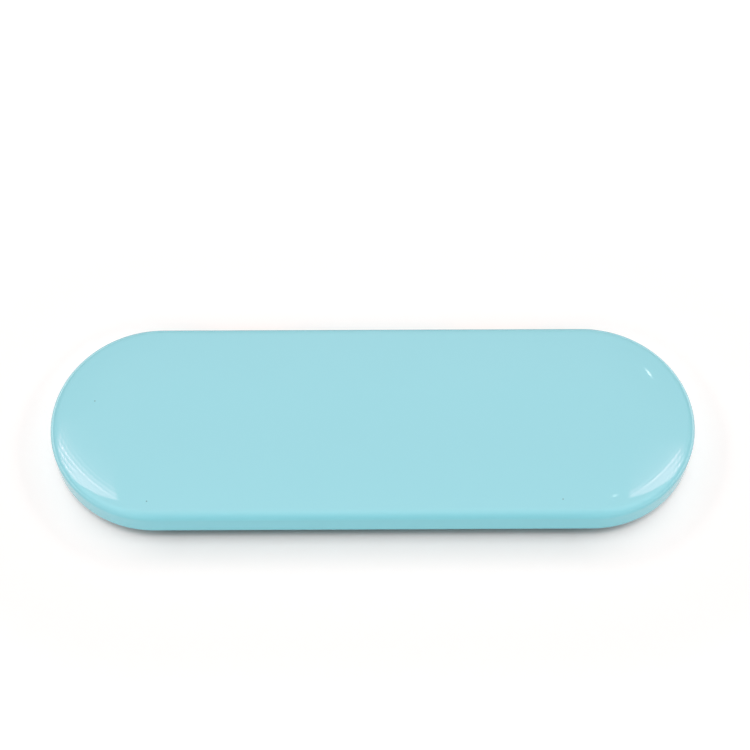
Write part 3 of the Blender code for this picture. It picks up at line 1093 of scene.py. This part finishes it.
def makeSoftbox(name, azimuth, elevation, distance, width, depth, radiance, shell):
    azimuth = math.radians(azimuth)
    elevation = math.radians(elevation)
    out = Vector(
        (
            math.sin(azimuth) * math.cos(elevation),
            math.cos(azimuth) * math.cos(elevation),
            math.sin(elevation),
        )
    )
    data = bpy.data.lights.new(name, "AREA")
    data.shape = "RECTANGLE"
    data.size = width
    data.size_y = depth
    data.energy = 4 * radiance * width * depth  # radiance is a quarter of the watts a square metre
    lamp = bpy.data.objects.new(name, data)
    bpy.context.scene.collection.objects.link(lamp)
    lamp.location = out * distance
    lamp.rotation_euler = out.to_track_quat("Z", "Y").to_euler()
    lamp.visible_camera = False
    lamp.visible_glossy = False
    if shell:
        lamp.light_linking.receiver_collection = litOnly(f"lit_{name}", shell)


def litOnly(name, *shells):
    # what a linked light falls on
    lit = bpy.data.collections.new(name)
    for shell in shells:
        lit.objects.link(bpy.data.objects[f"{shell}_shell_enamelled"])
    return lit


# Each panel is a curved sheet of lamps behind a woven grid. It is laid out by the place on the lid
# where it mirrors, as (turn round the end in degrees, 0 outward and 90 to the front; inset from
# the edge in mm), and it lights nothing but gloss.
panels = {
    "distance": 1.0,  # metres
    "colour": "#FFCBD0",  # rosy lamps, which keep the highlights milky on aqua
    "turns": (-14, 76),
    "insets": (0.2, 13.0),
    "steps": (110, 130),
    "rowStart": 4.4,  # inset of the brightest row
    "rowPitch": 1.07,
    "rowBend": 0.0018,  # rows move out by this times the square of the turn from their middle
    "rowMiddle": 48,
    "rowPeak": 2.3,  # light along the middle of a row, against the mean
    "rowsIn": (3.4, 4.4),  # insets over which the rows come up
    "rowsRound": (30, 44),  # turns over which they die out nearer the edge
    "rowsPast": (5.0, 6.8),  # insets over which the faint rows past them take over
    "crossBend": 0.0025,  # the same for the threads that cross them
    "crossMiddle": -12,
    "crossPeak": 1.6,
    "crossShares": (0.5, 0.2),  # how strong the cross threads are, before and after these turns
    "crossRound": (18, 44),
    "edgeStart": 20.8,  # turn where the lower edge leaves the case's edge
    "edgeSlope": 0.073,  # and how fast it comes in, per degree
    "edgeSoft": (-0.1, 0.12),
    "lowFade": (1.15, 1.7),  # none is mirrored nearer the wall, or the top would whiten in side views
    "startRound": (-12, 2),  # turns over which the light comes up
    "tailInset": 3.9,  # out from here it starts later and later, so that its tail is slanted
    "tailRound": (25, 42),  # turns over which it would come up at the very edge
    "endTurn": 67.5,  # turn where it ends, at the brightest row
    "endLean": 1.6,  # how much later it ends nearer the edge, in degrees for each mm
    "endSoft": 1.0,
    "endDim": (0.2, 45, 67.5),  # dimmer towards that end: how much, and from turn to turn
    "crest": 0.12,  # the brightest row stands out by this much
    "crestWidth": 0.4,
    "crestShift": 0.15,
    "sides": {
        # drop and trail are the mm in which the light fades past the brightest row, and tail is how
        # far round its tail slants, in degrees for each mm
        "left": {
            "glow": 5.3,
            "drop": 1.3,
            "trail": 5.0,
            "trailShare": 0.16,
            "rows": 0.55,
            "faintRows": 1.0,
            "tail": 8.8,
        },
        "right": {
            "glow": 5.2,
            "drop": 0.35,
            "trail": 2.8,
            "trailShare": 0.38,
            "rows": 0.5,
            "faintRows": 0.6,
            "tail": 3.5,
        },
    },
}


def ease(value, start, end):
    # 0 before the start and 1 after the end, with a smooth rise between them
    t = min(max((value - start) / (end - start), 0), 1)
    return t * t * (3 - 2 * t)


def between(ends, share):
    # the value this share of the way from one end to the other
    return ends[0] + (ends[1] - ends[0]) * share


def wave(phase):
    # 1 at each whole number and 0 halfway between
    return 0.5 + 0.5 * math.cos(2 * math.pi * phase)


def gridWeave(turn, inset, form):
    # light and dark of the threads, about 1 on average
    bend = panels["rowBend"] * (turn - panels["rowMiddle"]) ** 2
    rows = wave((inset + bend - panels["rowStart"]) / panels["rowPitch"])
    bend = panels["crossBend"] * (turn - panels["crossMiddle"]) ** 2
    cross = wave((inset + bend) / panels["rowPitch"])
    rowShare = form["rows"] * max(ease(inset, *panels["rowsIn"]), 1 - ease(turn, *panels["rowsRound"]))
    rowShare = between((rowShare, form["faintRows"]), ease(inset, *panels["rowsPast"]))
    crossShare = between(panels["crossShares"], ease(turn, *panels["crossRound"]))
    weave = 1 - rowShare + panels["rowPeak"] * rowShare * rows ** 2
    return weave * (1 - crossShare + panels["crossPeak"] * crossShare * cross)


def gridWindow(turn, inset, form):
    # the outline of the lit part
    edge = panels["edgeSlope"] * max(turn - panels["edgeStart"], 0)
    below, above = panels["edgeSoft"]
    window = ease(inset, edge + below, edge + above)
    end = panels["endTurn"] + panels["endLean"] * (panels["rowStart"] - inset)
    window *= 1 - ease(turn, end - panels["endSoft"], end + panels["endSoft"])
    dim, dimStart, dimEnd = panels["endDim"]
    window *= 1 - dim * ease(turn, dimStart, dimEnd)
    window *= ease(turn + form["tail"] * min(inset, panels["tailInset"]), *panels["tailRound"])
    window *= ease(turn, *panels["startRound"])
    return window * ease(inset, *panels["lowFade"])


def gridFade(turn, inset, form):
    # full up to the brightest row, and past it a quick drop and a long trail
    crest = panels["rowStart"] + panels["crestShift"]
    crest -= panels["rowBend"] * max(panels["rowMiddle"] - turn, 0) ** 2
    past = max(inset - crest, 0)
    fade = (1 - form["trailShare"]) * math.exp(-past / form["drop"])
    fade += form["trailShare"] * math.exp(-past / form["trail"])
    return fade + panels["crest"] * math.exp(-(((inset - crest) / panels["crestWidth"]) ** 2))


def gridGlow(turn, inset, side):
    form = panels["sides"][side]
    glow = form["glow"] * gridWindow(turn, inset, form)
    return glow * gridFade(turn, inset, form) * gridWeave(turn, inset, form)


def lidPoint(turn, inset, hand):
    # place and facing on the lid's end, from the turn round it and the inset in mm
    inset = inset * mm
    if inset < domeEdge:
        up = math.acos(1 - inset / shoulder)
        z = skirtTop + shoulder * math.sin(up)
    else:
        up = math.acos((crownInset - inset) / domeRadius)
        z = domeCentre + domeRadius * math.sin(up)
    reach = caseRadius - inset
    out = Vector((hand * math.cos(turn), -math.sin(turn), 0))
    facing = out * math.cos(up) + Vector((0, 0, math.sin(up)))
    return Vector((hand * halfRun, 0, z)) + out * reach, facing


def glossOnly(panel):
    panel.data.shade_smooth()
    panel.visible_camera = False
    panel.visible_diffuse = False
    panel.visible_shadow = False
    panel.visible_transmission = False


def makeDome():
    # silk over the whole set, which only gloss sees
    bm = bmesh.new()
    around, upwards = studio["domeSegments"]
    bmesh.ops.create_uvsphere(bm, u_segments=around, v_segments=upwards, radius=studio["domeRadius"])
    low = [v for v in bm.verts if v.co.z < -mm]
    bmesh.ops.delete(bm, geom=low, context="VERTS")
    layer = bm.verts.layers.float.new("glow")
    skirtStart, *skirtEnds = studio["domeSkirtUp"]
    for vert in bm.verts:
        vert.co.z += studio["domeRise"] * mm
        up = math.degrees(math.asin(min(vert.co.z / studio["domeRadius"], 1)))
        offFront = math.degrees(math.atan2(abs(vert.co.x), -vert.co.y))
        skirtEnd = between(skirtEnds, ease(offFront, *studio["domeBack"]))
        skirt = between((studio["domeSkirt"], 1), ease(up, skirtStart, skirtEnd))
        share = max(ease(up, 0, studio["domeFull"]), skirt * ease(offFront, *studio["domeSides"]))
        vert[layer] = studio["domeGlow"] * share
    dome = toObject("silk_dome", bm, whiteLamp)
    dome.light_linking.receiver_collection = litOnly("lit_silk_dome", "lid", "base")
    glossOnly(dome)


def makePanel(name, hand, turns, insets, steps, glowAt, material):
    # each point stands where the camera sees it mirrored at that turn and inset of the lid
    eye = bpy.context.scene.camera.matrix_world.translation
    bm = bmesh.new()
    layer = bm.verts.layers.float.new("glow")
    around, inwards = steps
    lines = []
    for i in range(around + 1):
        turn = between(turns, i / around)
        line = []
        for j in range(inwards + 1):
            inset = between(insets, j / inwards)
            point, facing = lidPoint(math.radians(turn), inset, hand)
            away = (point - eye).normalized().reflect(facing)
            vert = bm.verts.new(point + away * panels["distance"])
            vert[layer] = glowAt(turn, inset)
            line.append(vert)
        lines.append(line)
    for line, following in zip(lines, lines[1:]):
        for j in range(inwards):
            bm.faces.new((line[j], following[j], following[j + 1], line[j + 1]))
    glossOnly(toObject(name, bm, material))


def makeLampFace(name, colour):
    material = bpy.data.materials.new(name)
    material.use_nodes = True
    tree = material.node_tree
    tree.nodes.clear()
    glow = addNode(tree, "Attribute", attribute_name="glow")
    lit = addNode(tree, "Emission", {"Strength": glow.outputs["Fac"], "Color": hexToLinear(colour)})
    clear = addNode(tree, "BsdfTransparent")
    both = addNode(tree, "AddShader", {0: lit.outputs["Emission"], 1: clear.outputs["BSDF"]})
    addNode(tree, "OutputMaterial", {"Surface": both.outputs["Shader"]})
    material.cycles.emission_sampling = "NONE"
    return material


# Two small bare lamps that show as short streaks on the right end.
bareLamps = {
    "reach": 1.6,  # half lengths to each side that a lamp's panel runs
    "halfWidth": 1.2,
    "steps": (24, 32),
    "lamps": (
        # long is the half length in degrees of turn, wide the half width, lean in mm for each degree
        {"turn": -38.2, "inset": 7.15, "long": 5.0, "wide": 0.35, "lean": 0.05, "glow": 13.5},
        {"turn": 76.7, "inset": 5.22, "long": 2.6, "wide": 0.3, "lean": -0.06, "glow": 7.0},
    ),
}


def streakGlow(turn, inset, form):
    # a soft-edged spot, down to a seventh of its glow at its half length and half width
    along = (turn - form["turn"]) / form["long"]
    across = (inset - form["inset"] - form["lean"] * (turn - form["turn"])) / form["wide"]
    return form["glow"] * math.exp(-2 * (along ** 2 + across ** 2))


def makePanels():
    for side, hand in (("left", -1), ("right", 1)):
        makePanel(
            f"{side}_grid_panel",
            hand,
            panels["turns"],
            panels["insets"],
            panels["steps"],
            lambda turn, inset: gridGlow(turn, inset, side),
            gridLamp,
        )
    for number, form in enumerate(bareLamps["lamps"]):
        reach = bareLamps["reach"] * form["long"]
        makePanel(
            f"bare_lamp_{number + 1}",
            1,
            (form["turn"] - reach, form["turn"] + reach),
            (form["inset"] - bareLamps["halfWidth"], form["inset"] + bareLamps["halfWidth"]),
            bareLamps["steps"],
            lambda turn, inset: streakGlow(turn, inset, form),
            whiteLamp,
        )


makeFloor()
makeTent()
for softbox in studio["softboxes"]:
    makeSoftbox(*softbox)
whiteLamp = makeLampFace("white_silk_lamp", "#FFFFFF")
gridLamp = makeLampFace("woven_grid_lamp", panels["colour"])
makeDome()
makePanels()
bpy.context.scene.view_settings.view_transform = "Standard"
print("studio lit")
